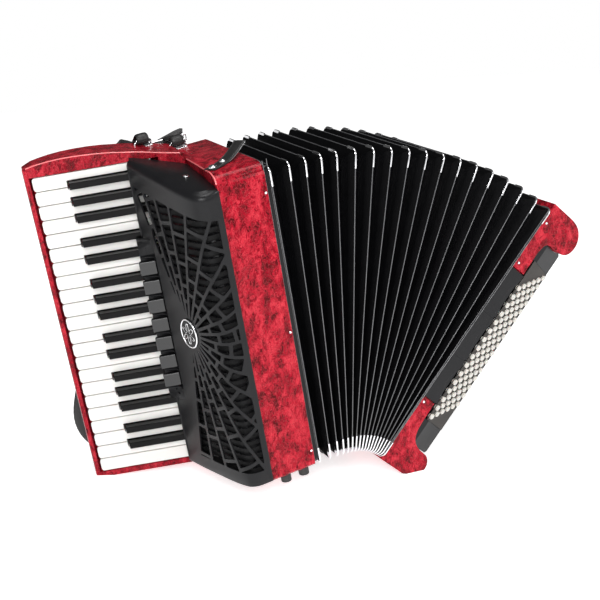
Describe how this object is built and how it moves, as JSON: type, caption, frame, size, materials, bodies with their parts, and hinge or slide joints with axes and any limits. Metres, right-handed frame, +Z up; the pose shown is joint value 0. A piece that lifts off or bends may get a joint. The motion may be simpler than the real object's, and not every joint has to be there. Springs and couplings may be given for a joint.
{
  "type": "piano accordion",
  "caption": "Red pearl piano accordion standing half open: black grille, white and black keys, fanned bellows, bass buttons and leather straps.",
  "frame": {"origin": "on the floor, under the middle of the instrument's box, with the instrument standing on the keyboard wing's lower corner and the bass end's lower lobe", "axes": "+X from the keyboard end to the bass end, +Y from the front to the player's side, +Z up"},
  "size_m": [0.7206, 0.2486, 0.4665],
  "materials": {
    "treble_casing": "red pearl celluloid, polished",
    "keyboard_wing": "red pearl celluloid, polished",
    "bass_casing": "red pearl celluloid, polished",
    "grille_cover": "satin black lacquer",
    "bass_cover": "satin black lacquer",
    "white_key": "polished ivory white",
    "black_key": "polished black",
    "register_switch": "satin black",
    "bass_button_set": "polished cream",
    "key_axle": "bright steel",
    "air_button": "bright chrome",
    "bellows_section": "pleated bellows cloth and tape",
    "bass_strap": "black leather",
    "shoulder_strap": "black padded leather",
    "bellows_strap": "black leather"
  },
  "bodies": {
    "treble": {"treble_casing": "treble_casing", "keyboard_wing": "keyboard_wing", "key_axle": "key_axle", "grille_cover": "grille_cover", "shoulder_strap_1": "shoulder_strap", "shoulder_strap_2": "shoulder_strap"},
    "bellows_a": {"bellows_section_1": "bellows_section"},
    "bellows_b": {"bellows_section_2": "bellows_section"},
    "bellows_c": {"bellows_section_3": "bellows_section"},
    "bass": {"bellows_section_4": "bellows_section", "bass_casing": "bass_casing", "bass_cover": "bass_cover", "bass_strap": "bass_strap"},
    "bass_button_set": {"bass_button_set": "bass_button_set"},
    "air_button": {"air_button": "air_button"},
    "bellows_strap": {"bellows_strap": "bellows_strap"},
    "register_switch_1": {"register_switch_1": "register_switch"},
    "register_switch_2": {"register_switch_2": "register_switch"},
    "register_switch_3": {"register_switch_3": "register_switch"},
    "register_switch_4": {"register_switch_4": "register_switch"},
    "register_switch_5": {"register_switch_5": "register_switch"},
    "register_switch_6": {"register_switch_6": "register_switch"},
    "register_switch_7": {"register_switch_7": "register_switch"},
    "white_key_01": {"white_key_01": "white_key"},
    "white_key_02": {"white_key_02": "white_key"},
    "white_key_03": {"white_key_03": "white_key"},
    "white_key_04": {"white_key_04": "white_key"},
    "white_key_05": {"white_key_05": "white_key"},
    "white_key_06": {"white_key_06": "white_key"},
    "white_key_07": {"white_key_07": "white_key"},
    "white_key_08": {"white_key_08": "white_key"},
    "white_key_09": {"white_key_09": "white_key"},
    "white_key_10": {"white_key_10": "white_key"},
    "white_key_11": {"white_key_11": "white_key"},
    "white_key_12": {"white_key_12": "white_key"},
    "white_key_13": {"white_key_13": "white_key"},
    "white_key_14": {"white_key_14": "white_key"},
    "white_key_15": {"white_key_15": "white_key"},
    "white_key_16": {"white_key_16": "white_key"},
    "white_key_17": {"white_key_17": "white_key"},
    "white_key_18": {"white_key_18": "white_key"},
    "white_key_19": {"white_key_19": "white_key"},
    "white_key_20": {"white_key_20": "white_key"},
    "white_key_21": {"white_key_21": "white_key"},
    "white_key_22": {"white_key_22": "white_key"},
    "black_key_01": {"black_key_01": "black_key"},
    "black_key_02": {"black_key_02": "black_key"},
    "black_key_03": {"black_key_03": "black_key"},
    "black_key_04": {"black_key_04": "black_key"},
    "black_key_05": {"black_key_05": "black_key"},
    "black_key_06": {"black_key_06": "black_key"},
    "black_key_07": {"black_key_07": "black_key"},
    "black_key_08": {"black_key_08": "black_key"},
    "black_key_09": {"black_key_09": "black_key"},
    "black_key_10": {"black_key_10": "black_key"},
    "black_key_11": {"black_key_11": "black_key"},
    "black_key_12": {"black_key_12": "black_key"},
    "black_key_13": {"black_key_13": "black_key"},
    "black_key_14": {"black_key_14": "black_key"},
    "black_key_15": {"black_key_15": "black_key"}
  },
  "joints": [
    {"name": "bellows_fan", "type": "hinge", "parent": "bellows_c", "child": "bass", "pos_m": [0.05123, -0.11925, 0.03245], "axis": [0, 1, 0], "range_deg": [-17.35, 1.5], "deforming": ["bellows_section_4"]},
    {"name": "bellows_fan_1", "type": "hinge", "parent": "treble", "child": "bellows_a", "pos_m": [-0.00081, -0.11925, 0.04789], "axis": [0, 1, 0], "range_deg": [-7.09, 0.62], "deforming": ["bellows_section_1"]},
    {"name": "bellows_fan_2", "type": "hinge", "parent": "bellows_a", "child": "bellows_b", "pos_m": [0.01886, -0.11925, 0.04689], "axis": [0, 1, 0], "range_deg": [-12.11, 1.06], "deforming": ["bellows_section_2"]},
    {"name": "bellows_fan_3", "type": "hinge", "parent": "bellows_b", "child": "bellows_c", "pos_m": [0.03447, -0.11925, 0.04249], "axis": [0, 1, 0], "range_deg": [-12.96, 1.13], "deforming": ["bellows_section_3"]},
    {"name": "bass_buttons_press", "type": "slide", "parent": "bass", "child": "bass_button_set", "axis": [-0.3055, 0.9177, 0.2541], "range_m": [0, 0.0022], "stiffness_N_per_m": 400},
    {"name": "air_button_press", "type": "slide", "parent": "bass", "child": "air_button", "axis": [-0.7688, 0, 0.6394], "range_m": [0, 0.004], "stiffness_N_per_m": 250},
    {"name": "bellows_strap_swing", "type": "hinge", "parent": "treble", "child": "bellows_strap", "pos_m": [-0.1703, -0.08925, 0.44115], "axis": [-0.1711, 0, 0.9853], "range_deg": [-14, 14]},
    {"name": "register_switch_1_press", "type": "hinge", "parent": "treble", "child": "register_switch_1", "pos_m": [-0.21703, -0.00276, 0.30434], "axis": [0.1711, 0, -0.9853], "range_deg": [0, 3], "stiffness_Nm_per_rad": 0.08},
    {"name": "register_switch_2_press", "type": "hinge", "parent": "treble", "child": "register_switch_2", "pos_m": [-0.21255, -0.00276, 0.27853], "axis": [0.1711, 0, -0.9853], "range_deg": [0, 3], "stiffness_Nm_per_rad": 0.08},
    {"name": "register_switch_3_press", "type": "hinge", "parent": "treble", "child": "register_switch_3", "pos_m": [-0.20806, -0.00276, 0.25271], "axis": [0.1711, 0, -0.9853], "range_deg": [0, 3], "stiffness_Nm_per_rad": 0.08},
    {"name": "register_switch_4_press", "type": "hinge", "parent": "treble", "child": "register_switch_4", "pos_m": [-0.20358, -0.00276, 0.2269], "axis": [0.1711, 0, -0.9853], "range_deg": [0, 3], "stiffness_Nm_per_rad": 0.08},
    {"name": "register_switch_5_press", "type": "hinge", "parent": "treble", "child": "register_switch_5", "pos_m": [-0.1991, -0.00276, 0.20108], "axis": [0.1711, 0, -0.9853], "range_deg": [0, 3], "stiffness_Nm_per_rad": 0.08},
    {"name": "register_switch_6_press", "type": "hinge", "parent": "treble", "child": "register_switch_6", "pos_m": [-0.19462, -0.00276, 0.17527], "axis": [0.1711, 0, -0.9853], "range_deg": [0, 3], "stiffness_Nm_per_rad": 0.08},
    {"name": "register_switch_7_press", "type": "hinge", "parent": "treble", "child": "register_switch_7", "pos_m": [-0.19014, -0.00276, 0.14946], "axis": [0.1711, 0, -0.9853], "range_deg": [0, 3], "stiffness_Nm_per_rad": 0.08},
    {"name": "white_key_01_press", "type": "hinge", "parent": "treble", "child": "white_key_01", "pos_m": [-0.21642, 0.02183, 0.42172], "axis": [0.1711, 0, -0.9853], "range_deg": [0, 2], "stiffness_Nm_per_rad": 2},
    {"name": "white_key_02_press", "type": "hinge", "parent": "treble", "child": "white_key_02", "pos_m": [-0.21317, 0.02183, 0.403], "axis": [0.1711, 0, -0.9853], "range_deg": [0, 2], "stiffness_Nm_per_rad": 2},
    {"name": "white_key_03_press", "type": "hinge", "parent": "treble", "child": "white_key_03", "pos_m": [-0.20992, 0.02183, 0.38428], "axis": [0.1711, 0, -0.9853], "range_deg": [0, 2], "stiffness_Nm_per_rad": 2},
    {"name": "white_key_04_press", "type": "hinge", "parent": "treble", "child": "white_key_04", "pos_m": [-0.20667, 0.02183, 0.36556], "axis": [0.1711, 0, -0.9853], "range_deg": [0, 2], "stiffness_Nm_per_rad": 2},
    {"name": "white_key_05_press", "type": "hinge", "parent": "treble", "child": "white_key_05", "pos_m": [-0.20342, 0.02183, 0.34684], "axis": [0.1711, 0, -0.9853], "range_deg": [0, 2], "stiffness_Nm_per_rad": 2},
    {"name": "white_key_06_press", "type": "hinge", "parent": "treble", "child": "white_key_06", "pos_m": [-0.20017, 0.02183, 0.32812], "axis": [0.1711, 0, -0.9853], "range_deg": [0, 2], "stiffness_Nm_per_rad": 2},
    {"name": "white_key_07_press", "type": "hinge", "parent": "treble", "child": "white_key_07", "pos_m": [-0.19692, 0.02183, 0.3094], "axis": [0.1711, 0, -0.9853], "range_deg": [0, 2], "stiffness_Nm_per_rad": 2},
    {"name": "white_key_08_press", "type": "hinge", "parent": "treble", "child": "white_key_08", "pos_m": [-0.19367, 0.02183, 0.29069], "axis": [0.1711, 0, -0.9853], "range_deg": [0, 2], "stiffness_Nm_per_rad": 2},
    {"name": "white_key_09_press", "type": "hinge", "parent": "treble", "child": "white_key_09", "pos_m": [-0.19042, 0.02183, 0.27197], "axis": [0.1711, 0, -0.9853], "range_deg": [0, 2], "stiffness_Nm_per_rad": 2},
    {"name": "white_key_10_press", "type": "hinge", "parent": "treble", "child": "white_key_10", "pos_m": [-0.18716, 0.02183, 0.25324], "axis": [0.1711, 0, -0.9853], "range_deg": [0, 2], "stiffness_Nm_per_rad": 2},
    {"name": "white_key_11_press", "type": "hinge", "parent": "treble", "child": "white_key_11", "pos_m": [-0.18391, 0.02183, 0.23453], "axis": [0.1711, 0, -0.9853], "range_deg": [0, 2], "stiffness_Nm_per_rad": 2},
    {"name": "white_key_12_press", "type": "hinge", "parent": "treble", "child": "white_key_12", "pos_m": [-0.18066, 0.02183, 0.2158], "axis": [0.1711, 0, -0.9853], "range_deg": [0, 2], "stiffness_Nm_per_rad": 2},
    {"name": "white_key_13_press", "type": "hinge", "parent": "treble", "child": "white_key_13", "pos_m": [-0.17741, 0.02183, 0.19709], "axis": [0.1711, 0, -0.9853], "range_deg": [0, 2], "stiffness_Nm_per_rad": 2},
    {"name": "white_key_14_press", "type": "hinge", "parent": "treble", "child": "white_key_14", "pos_m": [-0.17416, 0.02183, 0.17836], "axis": [0.1711, 0, -0.9853], "range_deg": [0, 2], "stiffness_Nm_per_rad": 2},
    {"name": "white_key_15_press", "type": "hinge", "parent": "treble", "child": "white_key_15", "pos_m": [-0.17091, 0.02183, 0.15965], "axis": [0.1711, 0, -0.9853], "range_deg": [0, 2], "stiffness_Nm_per_rad": 2},
    {"name": "white_key_16_press", "type": "hinge", "parent": "treble", "child": "white_key_16", "pos_m": [-0.16766, 0.02183, 0.14092], "axis": [0.1711, 0, -0.9853], "range_deg": [0, 2], "stiffness_Nm_per_rad": 2},
    {"name": "white_key_17_press", "type": "hinge", "parent": "treble", "child": "white_key_17", "pos_m": [-0.16441, 0.02183, 0.1222], "axis": [0.1711, 0, -0.9853], "range_deg": [0, 2], "stiffness_Nm_per_rad": 2},
    {"name": "white_key_18_press", "type": "hinge", "parent": "treble", "child": "white_key_18", "pos_m": [-0.16116, 0.02183, 0.10348], "axis": [0.1711, 0, -0.9853], "range_deg": [0, 2], "stiffness_Nm_per_rad": 2},
    {"name": "white_key_19_press", "type": "hinge", "parent": "treble", "child": "white_key_19", "pos_m": [-0.15791, 0.02183, 0.08476], "axis": [0.1711, 0, -0.9853], "range_deg": [0, 2], "stiffness_Nm_per_rad": 2},
    {"name": "white_key_20_press", "type": "hinge", "parent": "treble", "child": "white_key_20", "pos_m": [-0.15466, 0.02183, 0.06605], "axis": [0.1711, 0, -0.9853], "range_deg": [0, 2], "stiffness_Nm_per_rad": 2},
    {"name": "white_key_21_press", "type": "hinge", "parent": "treble", "child": "white_key_21", "pos_m": [-0.15141, 0.02183, 0.04733], "axis": [0.1711, 0, -0.9853], "range_deg": [0, 2], "stiffness_Nm_per_rad": 2},
    {"name": "white_key_22_press", "type": "hinge", "parent": "treble", "child": "white_key_22", "pos_m": [-0.14816, 0.02183, 0.02861], "axis": [0.1711, 0, -0.9853], "range_deg": [0, 2], "stiffness_Nm_per_rad": 2},
    {"name": "black_key_01_press", "type": "hinge", "parent": "treble", "child": "black_key_01", "pos_m": [-0.21693, 0.02183, 0.42468], "axis": [0.1711, 0, -0.9853], "range_deg": [0, 2], "stiffness_Nm_per_rad": 2},
    {"name": "black_key_02_press", "type": "hinge", "parent": "treble", "child": "black_key_02", "pos_m": [-0.21317, 0.02183, 0.403], "axis": [0.1711, 0, -0.9853], "range_deg": [0, 2], "stiffness_Nm_per_rad": 2},
    {"name": "black_key_03_press", "type": "hinge", "parent": "treble", "child": "black_key_03", "pos_m": [-0.2094, 0.02183, 0.38133], "axis": [0.1711, 0, -0.9853], "range_deg": [0, 2], "stiffness_Nm_per_rad": 2},
    {"name": "black_key_04_press", "type": "hinge", "parent": "treble", "child": "black_key_04", "pos_m": [-0.20379, 0.02183, 0.34901], "axis": [0.1711, 0, -0.9853], "range_deg": [0, 2], "stiffness_Nm_per_rad": 2},
    {"name": "black_key_05_press", "type": "hinge", "parent": "treble", "child": "black_key_05", "pos_m": [-0.19979, 0.02183, 0.32596], "axis": [0.1711, 0, -0.9853], "range_deg": [0, 2], "stiffness_Nm_per_rad": 2},
    {"name": "black_key_06_press", "type": "hinge", "parent": "treble", "child": "black_key_06", "pos_m": [-0.19418, 0.02183, 0.29364], "axis": [0.1711, 0, -0.9853], "range_deg": [0, 2], "stiffness_Nm_per_rad": 2},
    {"name": "black_key_07_press", "type": "hinge", "parent": "treble", "child": "black_key_07", "pos_m": [-0.19042, 0.02183, 0.27197], "axis": [0.1711, 0, -0.9853], "range_deg": [0, 2], "stiffness_Nm_per_rad": 2},
    {"name": "black_key_08_press", "type": "hinge", "parent": "treble", "child": "black_key_08", "pos_m": [-0.18665, 0.02183, 0.25029], "axis": [0.1711, 0, -0.9853], "range_deg": [0, 2], "stiffness_Nm_per_rad": 2},
    {"name": "black_key_09_press", "type": "hinge", "parent": "treble", "child": "black_key_09", "pos_m": [-0.18104, 0.02183, 0.21797], "axis": [0.1711, 0, -0.9853], "range_deg": [0, 2], "stiffness_Nm_per_rad": 2},
    {"name": "black_key_10_press", "type": "hinge", "parent": "treble", "child": "black_key_10", "pos_m": [-0.17704, 0.02183, 0.19492], "axis": [0.1711, 0, -0.9853], "range_deg": [0, 2], "stiffness_Nm_per_rad": 2},
    {"name": "black_key_11_press", "type": "hinge", "parent": "treble", "child": "black_key_11", "pos_m": [-0.17143, 0.02183, 0.1626], "axis": [0.1711, 0, -0.9853], "range_deg": [0, 2], "stiffness_Nm_per_rad": 2},
    {"name": "black_key_12_press", "type": "hinge", "parent": "treble", "child": "black_key_12", "pos_m": [-0.16766, 0.02183, 0.14092], "axis": [0.1711, 0, -0.9853], "range_deg": [0, 2], "stiffness_Nm_per_rad": 2},
    {"name": "black_key_13_press", "type": "hinge", "parent": "treble", "child": "black_key_13", "pos_m": [-0.1639, 0.02183, 0.11925], "axis": [0.1711, 0, -0.9853], "range_deg": [0, 2], "stiffness_Nm_per_rad": 2},
    {"name": "black_key_14_press", "type": "hinge", "parent": "treble", "child": "black_key_14", "pos_m": [-0.15829, 0.02183, 0.08693], "axis": [0.1711, 0, -0.9853], "range_deg": [0, 2], "stiffness_Nm_per_rad": 2},
    {"name": "black_key_15_press", "type": "hinge", "parent": "treble", "child": "black_key_15", "pos_m": [-0.15429, 0.02183, 0.06388], "axis": [0.1711, 0, -0.9853], "range_deg": [0, 2], "stiffness_Nm_per_rad": 2}
  ],
  "couplings": [
    {"joint": "bellows_fan_1", "follows": "bellows_fan", "ratio": 0.40799},
    {"joint": "bellows_fan_2", "follows": "bellows_fan", "ratio": 0.69682},
    {"joint": "bellows_fan_3", "follows": "bellows_fan", "ratio": 0.74538}
  ]
}
